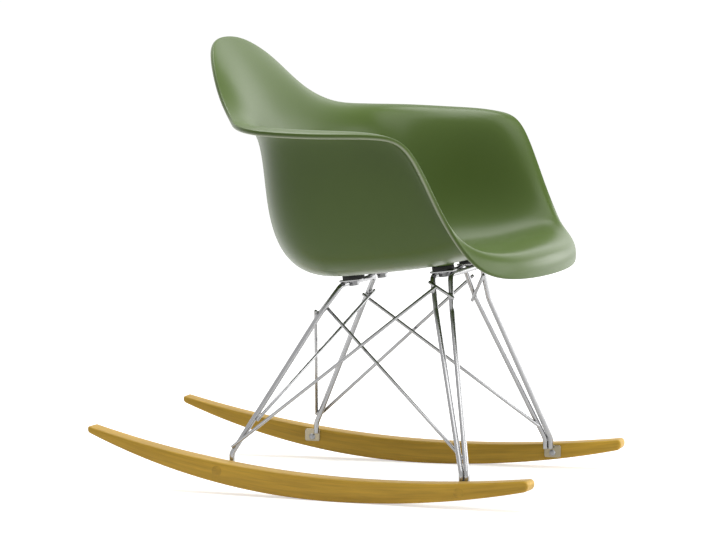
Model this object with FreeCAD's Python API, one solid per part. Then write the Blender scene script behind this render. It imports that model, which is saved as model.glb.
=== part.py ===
import FreeCAD, Part
import math
import os
from FreeCAD import Vector

# Moulded plastic rocking chair. Millimetres, +Z up, the sitter faces -Y and +X is the sitter's left.
# The origin is on the floor, midway between the rockers and midway along them.

os.makedirs("parts", exist_ok=True)

# Seat shell: the seat's middle, its slope, the wall and the rolled edge
seatMiddle = Vector(0, -70, 326)
seatSlope = -0.127
seatFlatShare = 0.5
seatBlendShare = 0.72
wallThickness = 5.0
edgeReach = 6.0
edgeDrop = 6.4
shellSectors = 4

# Mounts between shell and base: all four lie in one plane that rises to the front
mountTilt = 7.2
mountHalfSpacing = 62.0
mountRearY = -19.0
mountRearZ = 312.4
mountFrontY = -159.0
rubberRadius = 16.5
rubberThickness = 7.0
rubberRim = 1.2
bossRadius = 17.0
bossRise = 5.6
insertRadius = 6.0
insertLength = 6.0
boltRadius = 4.0
boltClearance = 0.3
boltHeadAcrossFlats = 13.0
boltHeadHeight = 5.3
washerRadius = 8.5
washerThickness = 1.6
threadLength = 5.0
cutMargin = 1.0

# Wire base: heavy rods carry the seat, thin wires brace them
rodRadius = 4.0
wireRadius = 2.5
weldBite = 0.1
plateThickness = 3.0
plateWidth = 26.0
plateCorner = 4.0
plateNose = 12.5
frontPlateReach = 18.0
rearPlateFore = 14.0
rearPlateAft = 20.0
twinBarOffset = 14.0
rearBarOffset = 16.0
barBendX = 74.0
barBendRadius = 13.0
kneeBendRadius = 30.0
footBendRadius = 16.0
rearKnee = Vector(97, 20, 260)
foreKnee = Vector(86, -181, 271)
aftKnee = Vector(92, -158, 272)
rearFootAlong = 130.5
frontFootAlong = -238.0
twinFootGap = 8.3
braceOverhang = 3.0

# Heights at which each wire is welded to its first and its second rod
risingWelds = (68.0, 298.0)
fallingWelds = (270.0, 74.0)
rearCrossWelds = {1: (72.0, 257.0), -1: (112.0, 276.0)}
tieWelds = {1: (274.0, 304.0), -1: (305.0, 290.0)}

# Feet: a steel plate welded to the rods and bolted through the rocker
footPlateThickness = 3.0
footPlateDrop = 21.0
footPlateRise = 10.0
rearPlateAlong = 138.5
rearFootPlateWidth = 24.0
frontPlateAlong = -244.0
frontFootPlateWidth = 26.0
rodEndDrop = 7.0
rodFootRise = 9.0
footPlateCorner = 3.0
rockerBoltDrop = 14.0
rockerBoltRadius = 3.0
rockerBoltHeadRadius = 5.0
rockerBoltHeadHeight = 2.6
rockerBoltHeadBevel = 1.6
rockerBoltEndGap = 1.0
rockerNutRadius = 6.5
rockerNutThickness = 5.0
plugRadius = 8.0
plugThickness = 5.0

# Rockers: two laminated runners that spread towards the front
rockerLength = 700.0
rockerWidth = 30.0
rockerHalfSpacing = 209.0
rockerToeOut = 3.55
rockerLowY = -50.0
rockerBottomRearRadius = 1030.0
rockerBottomFrontRadius = 1400.0
rockerTopLowY = -95.0
rockerTopLowZ = 33.2
rockerTopRearRadius = 1750.0
rockerTopFrontRadius = 2150.0
rockerEdgeRadius = 3.0
rockerFrontNose = 7.0
rockerRearNose = 3.6

tolerance = 0.01
up = Vector(0, 0, 1)
across = Vector(1, 0, 0)
tiltAngle = math.radians(mountTilt)
mountUp = Vector(0, math.sin(tiltAngle), math.cos(tiltAngle))
mountForward = Vector(0, -math.cos(tiltAngle), math.sin(tiltAngle))
mountFrontZ = mountRearZ + (mountRearY - mountFrontY) * math.tan(tiltAngle)


def save(shape, node):
    shape.exportStep("parts/" + node + ".step")
    print(node, round(shape.Volume), len(shape.Solids), shape.isValid())


def mirrored(point):
    return Vector(-point.x, point.y, point.z)


def sided(point, side):
    return point if side > 0 else mirrored(point)


# Right half of the shell's middle surface, from the front edge round the arm to the back.
# Each station gives four points: foot of the wall, wall, start of the flare and edge.
shellStations = [
    ((0, -215, 350), (0, -286, 364), (0, -318, 354), (0, -315, 324)),
    ((75, -213, 350), (90, -283, 363), (99, -312, 352), (104, -309, 325)),
    ((140, -205, 350), (170, -267, 365), (184, -287, 357), (189, -286, 330)),
    ((180, -185, 347), (212, -227, 375), (225, -248, 381), (229, -257, 355)),
    ((200, -155, 344), (228, -184, 399), (238, -203, 436), (248, -216, 427)),
    ((205, -115, 340), (236, -135, 415), (245, -160, 516), (263, -178, 525)),
    ((206, -75, 335), (240, -85, 420), (255, -112, 547), (281, -141, 540)),
    ((206, -35, 332), (242, -35, 420), (266, -53, 550), (314, -61, 538)),
    ((203, 0, 332), (238, 15, 421), (263, 13, 553), (319, 41, 541)),
    ((183, 31, 334), (217, 49, 419), (234, 52, 545), (272, 87, 546)),
    ((154, 53, 336), (184, 72, 418), (194, 72, 534), (210, 113, 549)),
    ((120, 69, 335), (144, 87, 415), (150, 89, 540), (163, 150, 578)),
    ((84, 80, 330), (100, 94, 413), (108, 105, 549), (123, 178, 625)),
    ((43, 86, 326), (51, 96, 411), (56, 118, 554), (63, 203, 656)),
    ((0, 89, 323), (0, 96, 410), (0, 125, 554), (0, 209, 660)),
]


def onSeat(foot, share):
    # A point of the flat seat, part of the way from its middle to the foot of the wall
    point = seatMiddle + (foot - seatMiddle) * share
    point.z = seatMiddle.z + seatSlope * (point.y - seatMiddle.y)
    return point


def stationRow(station):
    # The first two points lie in the flat seat, so that the surface leaves it tangentially
    points = [Vector(*p) for p in station]
    return [onSeat(points[0], seatFlatShare), onSeat(points[0], seatBlendShare)] + points


def shellNet():
    # Both halves of the middle surface as columns that run once round the seat
    half = [stationRow(station) for station in shellStations]
    other = [[mirrored(p) for p in row] for row in reversed(half[1:-1])]
    return half + other


def netNormals(net):
    # Unit normals at the net's points, towards the sitter
    seatNormal = Vector(0, -seatSlope, 1).normalize()
    count = len(net)
    normals = []
    for i, row in enumerate(net):
        line = []
        for j in range(len(row)):
            if j < 2:
                line.append(seatNormal)
                continue
            along = net[(i + 1) % count][j] - net[i - 1][j]
            outward = row[min(j + 1, len(row) - 1)] - row[j - 1]
            line.append(outward.cross(along).normalize())
        normals.append(line)
    return normals


def edgeFrame(net, i):
    # At the edge: outward is square to the rim and in the surface, face is the surface normal
    count = len(net)
    rim = net[(i + 1) % count][-1] - net[i - 1][-1]
    rim.normalize()
    outward = net[i][-1] - net[i][-2]
    outward = outward - rim * outward.dot(rim)
    outward.normalize()
    face = outward.cross(rim)
    return outward, face


# The rolled edge as steps outward and steps along the surface normal, from inside to outside
halfWall = wallThickness / 2
edgeSteps = [
    (0.1 * edgeReach, halfWall),
    (0.38 * edgeReach, 0.5 * halfWall),
    (0.5 * edgeReach, -0.3 * edgeDrop),
    (0.36 * edgeReach, -0.9 * edgeDrop),
    (-0.1 * edgeReach, -1.05 * edgeDrop),
    (-0.5 * edgeReach, -0.75 * edgeDrop),
    (-0.8 * edgeReach, -halfWall),
]


def ringFaces(rings, degree):
    # A surface that runs once round the seat through rings of control points, in equal sectors
    columns = [list(column) for column in zip(*rings)]
    turns = len(columns)
    spans = len(rings) - degree
    surface = Part.BSplineSurface()
    surface.buildFromPolesMultsKnots(
        columns,
        [1] * (turns + 1),
        [degree + 1] + [1] * (spans - 1) + [degree + 1],
        [float(k) for k in range(turns + 1)],
        [float(k) for k in range(spans + 1)],
        True, False, 3, degree)
    faces = []
    for sector in range(shellSectors):
        part = surface.copy()
        start = turns * sector / shellSectors
        part.segment(start, start + turns / shellSectors, 0, spans)
        faces.append(part.toShape())
    return faces


def seatFace(ring):
    # The flat middle of the seat, inside the first ring of control points
    turns = len(ring)
    curve = Part.BSplineCurve()
    knots = [float(k) for k in range(turns + 1)]
    curve.buildFromPolesMultsKnots(ring, [1] * (turns + 1), knots, True, 3)
    sectors = []
    for sector in range(shellSectors):
        start = turns * sector / shellSectors
        sectors.append(curve.toShape(start, start + turns / shellSectors))
    return Part.Face(Part.Wire(sectors))


def shellSolid():
    # Inner face from the seat middle to the edge, the rolled edge in strips, outer face back
    net = shellNet()
    normals = netNormals(net)
    frames = [edgeFrame(net, i) for i in range(len(net))]
    inside = []
    outside = []
    for j in range(len(net[0]) - 1):
        inside.append([row[j] + normals[i][j] * halfWall for i, row in enumerate(net)])
        outside.append([row[j] - normals[i][j] * halfWall for i, row in enumerate(net)])
    edge = []
    for reach, rise in edgeSteps:
        edge.append([net[i][-1] + outward * reach + face * rise
                     for i, (outward, face) in enumerate(frames)])
    faces = [seatFace(inside[0]), seatFace(outside[0])]
    faces += ringFaces(inside + [edge[0]], 3)
    for first, second in zip(edge, edge[1:]):
        faces += ringFaces([first, second], 1)
    faces += ringFaces([edge[-1]] + outside[::-1], 3)
    skin = Part.Compound(faces)
    skin.sewShape()
    solid = Part.Solid(skin.Shells[0])
    if solid.Volume < 0:
        solid.reverse()
    return solid


def mountPoint(side, front):
    y = mountFrontY if front else mountRearY
    z = mountFrontZ if front else mountRearZ
    return Vector(side * mountHalfSpacing, y, z)


def mountCylinder(centre, radius, low, high):
    return Part.makeCylinder(radius, high - low, centre + mountUp * low, mountUp)


# The four mounts: centre, whether it is a front one, and the words that its plate is named by
mountCorners = [(mountPoint(side, front), front, endName + "_" + sideName)
                for side, sideName in ((1, "left"), (-1, "right"))
                for front, endName in ((True, "front"), (False, "rear"))]
mountCentres = [centre for centre, front, name in mountCorners]


# The stack at a mount, measured from the middle of the rubber disc along mountUp
rubberTop = rubberThickness / 2
plateTop = -rubberTop
plateBottom = plateTop - plateThickness
washerBottom = plateBottom - washerThickness
headBottom = washerBottom - boltHeadHeight
barDrop = -plateBottom + rodRadius - weldBite


def makeShell():
    # The moulded bucket with a boss over each mount, drilled for its threaded insert
    shell = shellSolid()
    for centre in mountCentres:
        boss = mountCylinder(centre, bossRadius, rubberTop, rubberTop + bossRise)
        shell = shell.fuse(boss)
    for centre in mountCentres:
        hole = mountCylinder(centre, insertRadius, rubberTop - cutMargin, rubberTop + insertLength)
        shell = shell.cut(hole)
    return shell.Solids[0]


def roundedWire(points, radii, closed):
    # Straight runs between points, with an arc of the stated radius at each corner
    count = len(points)
    turns = []
    for i, (point, radius) in enumerate(zip(points, radii)):
        if radius == 0:
            turns.append((point, None, point))
            continue
        back = (points[i - 1] - point).normalize()
        ahead = (points[(i + 1) % count] - point).normalize()
        half = back.getAngle(ahead) / 2
        reach = radius / math.tan(half)
        middle = point + (back + ahead).normalize() * (radius / math.sin(half) - radius)
        turns.append((point + back * reach, middle, point + ahead * reach))
    edges = []
    for i, (start, middle, end) in enumerate(turns):
        if middle:
            edges.append(Part.Arc(start, middle, end).toShape())
        if closed or i < count - 1:
            edges.append(Part.makeLine(end, turns[(i + 1) % count][0]))
    return Part.Wire(edges)


def plate(outline, radii, thickness, holeAt, holeRadius):
    # A flat steel plate in the XY plane, its top at Z = 0
    blank = Part.Face(roundedWire(outline, radii, True)).extrude(Vector(0, 0, -thickness))
    return blank.cut(Part.makeCylinder(holeRadius, thickness, holeAt - up * thickness))


def bentRod(points, radii, radius):
    # A round rod bent through points, square-cut at both ends
    path = roundedWire(points, [0] + radii + [0], False)
    section = Part.Wire(Part.makeCircle(radius, points[0], points[1] - points[0]))
    return path.makePipe(Part.Face(section))


def makeRubberMount(centre):
    disc = mountCylinder(centre, rubberRadius, -rubberTop, rubberTop)
    rims = [e for e in disc.Edges if e.Closed and len(e.Vertexes) == 1 and e.Curve.TypeId
            == "Part::GeomCircle"]
    disc = disc.makeChamfer(rubberRim, rims)
    return disc.cut(mountCylinder(centre, boltRadius + boltClearance, -rubberTop, rubberTop))


def makeMountPlate(centre, front):
    # A tab that bridges the rods, square in front and with a rounded nose behind
    half = plateWidth / 2
    fore, aft = (frontPlateReach, frontPlateReach) if front else (rearPlateFore, rearPlateAft)
    outline = [Vector(-half, -fore), Vector(half, -fore), Vector(half, aft), Vector(-half, aft)]
    foreRadius = plateCorner if front else plateNose
    radii = [foreRadius, foreRadius, plateCorner, plateCorner]
    tab = plate(outline, radii, plateThickness, Vector(), boltRadius + boltClearance)
    turn = FreeCAD.Rotation(across, -mountTilt)
    tab.Placement = FreeCAD.Placement(centre + mountUp * plateTop, turn)
    return tab


def makeMountBolt(centre):
    # Hexagon head below the washer, shank up through plate and rubber into the insert
    corner = boltHeadAcrossFlats / math.sqrt(3)
    hexagon = [Vector(corner * math.cos(math.radians(a)), corner * math.sin(math.radians(a)))
               for a in range(0, 420, 60)]
    head = Part.Face(Part.makePolygon(hexagon)).extrude(Vector(0, 0, boltHeadHeight))
    turn = FreeCAD.Rotation(across, -mountTilt)
    head.Placement = FreeCAD.Placement(centre + mountUp * headBottom, turn)
    shank = mountCylinder(centre, boltRadius, washerBottom, rubberTop + threadLength)
    return head.fuse(shank)


def makeMountWasher(centre):
    ring = mountCylinder(centre, washerRadius, washerBottom, plateBottom)
    return ring.cut(mountCylinder(centre, boltRadius + boltClearance, washerBottom, plateBottom))


def makeMountInsert(centre):
    bush = mountCylinder(centre, insertRadius, rubberTop, rubberTop + insertLength)
    return bush.cut(mountCylinder(centre, boltRadius, rubberTop, rubberTop + insertLength))


def rockerPlace(side):
    # Local frame of a rocker: its own length along Y, its inner face towards the other one
    return FreeCAD.Placement(Vector(side * rockerHalfSpacing, 0, 0),
                             FreeCAD.Rotation(up, side * rockerToeOut))


def onRocker(side, inward, along, z):
    return rockerPlace(side).multVec(Vector(-side * inward, along, z))


def arcHeight(y, lowY, lowZ, rearRadius, frontRadius):
    radius = rearRadius if y > lowY else frontRadius
    return lowZ + radius - math.sqrt(radius ** 2 - (y - lowY) ** 2)


def rockerBottom(y):
    point = arcHeight(y, rockerLowY, 0, rockerBottomRearRadius, rockerBottomFrontRadius)
    return Vector(0, y, point)


def rockerTop(y):
    point = arcHeight(y, rockerTopLowY, rockerTopLowZ, rockerTopRearRadius, rockerTopFrontRadius)
    return Vector(0, y, point)


def arcEdge(curve, start, end):
    return Part.Arc(curve(start), curve((start + end) / 2), curve(end)).toShape()


def makeRocker(side):
    # Outline of two arcs above and two below, rounded noses, then every long edge rounded
    front = -rockerLength / 2
    rear = rockerLength / 2
    outline = Part.Wire([
        arcEdge(rockerBottom, front, rockerLowY),
        arcEdge(rockerBottom, rockerLowY, rear),
        Part.makeLine(rockerBottom(rear), rockerTop(rear)),
        arcEdge(rockerTop, rear, rockerTopLowY),
        arcEdge(rockerTop, rockerTopLowY, front),
        Part.makeLine(rockerTop(front), rockerBottom(front)),
    ])
    runner = Part.Face(outline).extrude(across * rockerWidth)
    runner.translate(across * (-rockerWidth / 2))
    for end, radius in ((front, rockerFrontNose), (rear, rockerRearNose)):
        noses = [e for e in runner.Edges if e.BoundBox.ZLength < tolerance
                 and abs(e.BoundBox.YMin - end) < tolerance
                 and abs(e.BoundBox.YMax - end) < tolerance]
        runner = runner.makeFillet(radius, noses)
    rims = [e for e in runner.Edges if e.BoundBox.XLength < tolerance]
    runner = runner.makeFillet(rockerEdgeRadius, rims)
    for along in (rearPlateAlong, frontPlateAlong):
        axis = rockerTop(along) - up * rockerBoltDrop
        inner = axis - across * side * rockerWidth / 2
        outward = across * side
        runner = runner.cut(Part.makeCylinder(rockerBoltRadius + boltClearance, rockerWidth,
                                              inner, outward))
        depth = plugThickness + rockerNutThickness
        start = axis + outward * (rockerWidth / 2 - depth)
        runner = runner.cut(Part.makeCylinder(plugRadius, depth, start, outward))
    runner.Placement = rockerPlace(side)
    return runner


def footAxis(side, along, inward):
    # A point on the bolt line through a rocker, by its distance inwards from the middle
    return onRocker(side, inward, along, rockerTop(along).z - rockerBoltDrop)


def outwardOf(side):
    return rockerPlace(side).Rotation.multVec(across * side)


def makeFootPlate(side, along, width):
    # Stands against the rocker's inner face, its upper part welded to the rods
    half = width / 2
    low = rockerBoltDrop - footPlateDrop
    high = rockerBoltDrop + footPlateRise
    outline = [Vector(-half, low), Vector(half, low), Vector(half, high), Vector(-half, high)]
    blank = plate(outline, [footPlateCorner] * 4, footPlateThickness, Vector(),
                  rockerBoltRadius + boltClearance)
    standing = FreeCAD.Rotation(Vector(0, side, 0), up, Vector(side, 0, 0), "ZXY")
    turn = rockerPlace(side).Rotation.multiply(standing)
    blank.Placement = FreeCAD.Placement(footAxis(side, along, rockerWidth / 2), turn)
    return blank


def footFasteners(side, along):
    # Round-headed bolt from the inside, nut sunk in the outer face, wooden plug over it
    outward = outwardOf(side)
    plateFace = footAxis(side, along, rockerWidth / 2 + footPlateThickness)
    plugOuter = footAxis(side, along, -rockerWidth / 2)
    nutOuter = plugOuter - outward * plugThickness
    nutInner = nutOuter - outward * rockerNutThickness
    head = Part.makeCylinder(rockerBoltHeadRadius, rockerBoltHeadHeight, plateFace, outward * -1)
    tips = [e for e in head.Edges if e.Curve.TypeId == "Part::GeomCircle"
            and (e.CenterOfMass - plateFace).Length > rockerBoltHeadBevel]
    head = head.makeChamfer(rockerBoltHeadBevel, tips)
    length = (nutOuter - plateFace).Length - rockerBoltEndGap
    bolt = head.fuse(Part.makeCylinder(rockerBoltRadius, length, plateFace, outward))
    nut = Part.makeCylinder(rockerNutRadius, rockerNutThickness, nutInner, outward)
    nut = nut.cut(Part.makeCylinder(rockerBoltRadius, rockerNutThickness, nutInner, outward))
    plug = Part.makeCylinder(plugRadius, plugThickness, nutOuter, outward)
    return bolt, nut, plug


def footPoint(side, along, rise):
    # On the rod axis at a foot, at a height above the rocker's upper face
    inward = rockerWidth / 2 + footPlateThickness + rodRadius - weldBite
    return onRocker(side, inward, along, rockerTop(along).z + rise)


def barPoint(side, front, forward):
    corner = mountPoint(side, front) - mountUp * barDrop + mountForward * forward
    corner.x = side * barBendX
    return corner


def legPoints(side, along, knee, front, forward):
    # One leg from its foot up to the bend into the cross bar under the seat
    return [
        footPoint(side, along, -rodEndDrop),
        footPoint(side, along, rodFootRise),
        sided(knee, side),
        barPoint(side, front, forward),
    ]


# Each rod's foot position along the rocker, knee, end of the seat and place under the mount
rearRod = (rearFootAlong, rearKnee, False, -rearBarOffset)
foreRod = (frontFootAlong - twinFootGap / 2, foreKnee, True, twinBarOffset)
aftRod = (frontFootAlong + twinFootGap / 2, aftKnee, True, -twinBarOffset)


def makeBow(rod):
    # Two legs and the bar between them, bent from one rod
    left = legPoints(1, *rod)
    right = legPoints(-1, *rod)
    radii = [footBendRadius, kneeBendRadius, barBendRadius]
    return bentRod(left + right[::-1], radii + radii[::-1], rodRadius)


def rodSpot(side, rod, z):
    # The spot at a height on a leg, below or above its knee, with the direction of the run there
    foot, bend, knee, top = legPoints(side, *rod)
    start, end = (bend, knee) if z < knee.z else (knee, top)
    run = end - start
    return start + run * ((z - start.z) / run.z), run


def weldedBrace(first, second, towards):
    # A straight wire laid against two rods on the side that a direction names
    (a, runA), (b, runB) = first, second
    line = b - a
    ends = []
    for spot, run in ((a, runA), (b, runB)):
        square = run.cross(line).normalize()
        if square.dot(towards) < 0:
            square = square * -1
        ends.append(spot + square * (rodRadius + wireRadius - weldBite))
    start, end = ends
    reach = (end - start).normalize() * (rodRadius + braceOverhang)
    start = start - reach
    return Part.makeCylinder(wireRadius, (end + reach - start).Length, start, end - start)


def saveMounts():
    for centre, front, name in mountCorners:
        save(makeMountPlate(centre, front), "mount_plate_" + name)
    for make, node in ((makeRubberMount, "shock_mounts"), (makeMountBolt, "mount_bolts"),
                       (makeMountWasher, "mount_washers"), (makeMountInsert, "mount_inserts")):
        save(Part.Compound([make(centre) for centre in mountCentres]), node)


def saveWire(name, first, second, welds, towards):
    # A wire between two legs, each given as its side and its rod
    low = rodSpot(*first, welds[0])
    high = rodSpot(*second, welds[1])
    save(weldedBrace(low, high, towards), name)


def saveBase():
    save(makeBow(rearRod), "rear_bow")
    save(makeBow(foreRod), "front_bow_fore")
    save(makeBow(aftRod), "front_bow_aft")
    for side, sideName in ((1, "left"), (-1, "right")):
        outside = across * side
        rear = (side, rearRod)
        aft = (side, aftRod)
        fore = (side, foreRod)
        otherRear = (-side, rearRod)
        # The rising wire lies outside the rods and the falling one inside, so they pass each other
        saveWire("side_brace_rising_" + sideName, rear, aft, risingWelds, outside)
        saveWire("side_brace_falling_" + sideName, rear, aft, fallingWelds, outside * -1)
        saveWire("front_tie_" + sideName, aft, fore, tieWelds[side], outside * -side)
        # One rear wire lies behind the legs and the other ahead of them
        saveWire("rear_brace_" + sideName, rear, otherRear, rearCrossWelds[side],
                 Vector(0, side, 0))


def saveRockers():
    bolts = []
    nuts = []
    plugs = []
    for side, sideName in ((1, "left"), (-1, "right")):
        save(makeRocker(side), "rocker_" + sideName)
        for along, width, endName in ((rearPlateAlong, rearFootPlateWidth, "rear"),
                                      (frontPlateAlong, frontFootPlateWidth, "front")):
            save(makeFootPlate(side, along, width), "foot_plate_" + endName + "_" + sideName)
            bolt, nut, plug = footFasteners(side, along)
            bolts.append(bolt)
            nuts.append(nut)
            plugs.append(plug)
    save(Part.Compound(bolts), "rocker_bolts")
    save(Part.Compound(nuts), "rocker_nuts")
    save(Part.Compound(plugs), "rocker_plugs")


save(makeShell(), "seat_shell")
saveMounts()
saveBase()
saveRockers()
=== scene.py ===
import math
import bpy
import numpy as np
from mathutils import Matrix, Vector


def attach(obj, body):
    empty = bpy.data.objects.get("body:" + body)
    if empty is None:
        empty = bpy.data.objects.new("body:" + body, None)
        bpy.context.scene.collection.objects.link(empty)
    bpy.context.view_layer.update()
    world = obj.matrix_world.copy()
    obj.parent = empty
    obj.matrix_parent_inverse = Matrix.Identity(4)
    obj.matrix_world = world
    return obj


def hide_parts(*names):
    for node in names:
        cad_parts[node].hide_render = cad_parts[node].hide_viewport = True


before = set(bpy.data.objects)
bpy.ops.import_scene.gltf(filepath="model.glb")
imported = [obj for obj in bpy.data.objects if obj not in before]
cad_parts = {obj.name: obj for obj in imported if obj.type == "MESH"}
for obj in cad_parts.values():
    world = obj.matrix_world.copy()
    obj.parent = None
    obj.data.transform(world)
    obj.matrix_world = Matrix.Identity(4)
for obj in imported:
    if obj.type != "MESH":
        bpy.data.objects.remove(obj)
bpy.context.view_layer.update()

# The chair faces -Y and +X is the sitter's left. Metres.
across = np.array([1.0, 0.0, 0.0])
upward = np.array([0.0, 0.0, 1.0])
# A helper direction is changed for another where an axis lies closer along it than this cosine
parallelLimit = 0.9


# Small tools for numpy surfaces

def unit(vectors):
    return vectors / np.linalg.norm(vectors, axis=-1, keepdims=True)


def gridFaces(rings, count, offset=0):
    # Quads between neighbouring rings of count points each, closed round every ring
    first = np.arange(rings - 1)[:, None] * count
    here = np.arange(count)[None, :]
    ahead = (here + 1) % count
    quads = np.stack([first + here, first + ahead, first + count + ahead, first + count + here], -1)
    return quads.reshape(-1, 4) + offset


def fanFaces(centre, ring, count, inward):
    # Triangles from a centre vertex to a ring that starts at index ring
    here = np.arange(count)
    ahead = (here + 1) % count
    pair = (ahead, here) if inward else (here, ahead)
    return np.stack([np.full(count, centre), ring + pair[0], ring + pair[1]], -1)


def closedSurface(rings):
    # One surface through rings (k, count, 3), each end closed by a fan round its mean point
    k, count = rings.shape[:2]
    points = np.concatenate([rings.reshape(-1, 3), rings[:1].mean(1), rings[-1:].mean(1)])
    quads = gridFaces(k, count)
    caps = np.concatenate([
        fanFaces(k * count, 0, count, True),
        fanFaces(k * count + 1, (k - 1) * count, count, False),
    ])
    return points, [quads, caps]


def joined(parts):
    # Several (points, face arrays) as one
    points = []
    faces = []
    base = 0
    for partPoints, partFaces in parts:
        points.append(partPoints)
        faces += [array + base for array in partFaces]
        base += len(partPoints)
    return np.concatenate(points), faces


def makePiece(name, points, faces, material, slot, replaced):
    # A mesh object from point and face arrays, facing outwards, tied to the chair's one body
    mesh = bpy.data.meshes.new(name)
    loops = np.concatenate([array.ravel() for array in faces]).astype(np.int32)
    sizes = np.concatenate([np.full(len(array), array.shape[1]) for array in faces]).astype(np.int32)
    starts = np.concatenate([[0], np.cumsum(sizes)[:-1]]).astype(np.int32)
    mesh.vertices.add(len(points))
    mesh.vertices.foreach_set("co", points.astype(np.float32).ravel())
    mesh.loops.add(len(loops))
    mesh.loops.foreach_set("vertex_index", loops)
    mesh.polygons.add(len(sizes))
    mesh.polygons.foreach_set("loop_start", starts)
    mesh.polygons.foreach_set("loop_total", sizes)
    mesh.polygons.foreach_set("use_smooth", np.ones(len(sizes), bool))
    mesh.update(calc_edges=True)
    mesh.validate()
    if meshVolume(mesh) < 0:
        mesh.flip_normals()
    mesh.materials.append(material)
    piece = bpy.data.objects.new(name, mesh)
    bpy.context.scene.collection.objects.link(piece)
    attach(piece, "root")
    if replaced:
        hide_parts(*replaced)
    return piece


def meshVolume(mesh):
    # Sum over triangles of a . (b x c) / 6
    mesh.calc_loop_triangles()
    corners = np.empty(len(mesh.loop_triangles) * 3, np.int32)
    mesh.loop_triangles.foreach_get("vertices", corners)
    spots = np.empty(len(mesh.vertices) * 3, np.float32)
    mesh.vertices.foreach_get("co", spots)
    a, b, c = spots.reshape(-1, 3)[corners].reshape(-1, 3, 3).transpose(1, 0, 2).astype(float)
    return (a * np.cross(b, c)).sum() / 6


def revolved(profile, centre, axis, count):
    # P(i, t) = centre + axis * z_i + r_i * (cos t * e1 + sin t * e2), profile rows are (r, z)
    axis = unit(np.asarray(axis, float))
    e1 = unit(np.cross(axis, across if abs(axis[0]) < parallelLimit else upward))
    e2 = np.cross(axis, e1)
    turn = np.linspace(0, 2 * np.pi, count, endpoint=False)
    ring = np.cos(turn)[:, None] * e1 + np.sin(turn)[:, None] * e2
    r, z = np.asarray(profile, float).T
    return centre + z[:, None, None] * axis + r[:, None, None] * ring[None]


def roundedProfile(radius, low, high, rim, steps=5):
    # Side of a disc with quarter-round rims: r = radius - rim + rim * cos a, z = rim * sin a
    turn = np.linspace(0, np.pi / 2, steps)
    lower = np.stack([radius - rim + rim * np.sin(turn), low + rim - rim * np.cos(turn)], -1)
    upper = np.stack([radius - rim + rim * np.cos(turn), high - rim + rim * np.sin(turn)], -1)
    return np.concatenate([lower, upper])


# Node tools for materials

def newMaterial(name):
    material = bpy.data.materials.new(name)
    material.use_nodes = True
    nodes = material.node_tree.nodes
    nodes.clear()
    output = nodes.new("ShaderNodeOutputMaterial")
    shader = nodes.new("ShaderNodeBsdfPrincipled")
    output.location = (600, 0)
    shader.location = (300, 0)
    material.node_tree.links.new(shader.outputs["BSDF"], output.inputs["Surface"])
    return material, material.node_tree, shader


def addNode(tree, kind, place, **values):
    # A node with its settings and unlinked inputs filled in
    node = tree.nodes.new(kind)
    node.location = place
    for key, value in values.items():
        if hasattr(node, key):
            setattr(node, key, value)
        else:
            node.inputs[key.replace("_", " ")].default_value = value
    return node


def objectSpace(tree):
    return addNode(tree, "ShaderNodeTexCoord", (-1200, 0)).outputs["Object"]


def newGroup(name, inputs, outputs):
    # An empty shader group with typed sockets: (name, kind, default) and (name, kind)
    group = bpy.data.node_groups.new(name, "ShaderNodeTree")
    for title, kind, default in inputs:
        socket = group.interface.new_socket(title, in_out="INPUT", socket_type=kind)
        if default is not None:
            socket.default_value = default
    for title, kind in outputs:
        group.interface.new_socket(title, in_out="OUTPUT", socket_type=kind)
    source = group.nodes.new("NodeGroupInput")
    sink = group.nodes.new("NodeGroupOutput")
    source.location = (-900, 0)
    sink.location = (700, 0)
    return group, source, sink


def addGroup(tree, group, place, **values):
    node = tree.nodes.new("ShaderNodeGroup")
    node.node_tree = group
    node.location = place
    for key, value in values.items():
        node.inputs[key.replace("_", " ")].default_value = value
    return node


def surfaceWearGroup():
    # Broad cloudy mask plus a fine one, and a normal bent by the fine one, for every material
    group, source, sink = newGroup(
        "SurfaceWear",
        [("Vector", "NodeSocketVector", None), ("Broad Scale", "NodeSocketFloat", 6.0),
         ("Fine Scale", "NodeSocketFloat", 600.0), ("Relief", "NodeSocketFloat", 0.05),
         ("Depth", "NodeSocketFloat", 0.0002)],
        [("Broad", "NodeSocketFloat"), ("Fine", "NodeSocketFloat"), ("Normal", "NodeSocketVector")])
    broad = addNode(group, "ShaderNodeTexNoise", (-500, 200), Detail=4.0, Roughness=0.6)
    fine = addNode(group, "ShaderNodeTexNoise", (-500, -100), Detail=3.0, Roughness=0.5)
    bump = addNode(group, "ShaderNodeBump", (100, -200))
    link = group.links.new
    for noise, scale in ((broad, "Broad Scale"), (fine, "Fine Scale")):
        link(source.outputs["Vector"], noise.inputs["Vector"])
        link(source.outputs[scale], noise.inputs["Scale"])
    link(source.outputs["Relief"], bump.inputs["Strength"])
    link(source.outputs["Depth"], bump.inputs["Distance"])
    link(fine.outputs["Fac"], bump.inputs["Height"])
    link(broad.outputs["Fac"], sink.inputs["Broad"])
    link(fine.outputs["Fac"], sink.inputs["Fine"])
    link(bump.outputs["Normal"], sink.inputs["Normal"])
    return group


surfaceWear = surfaceWearGroup()


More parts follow.
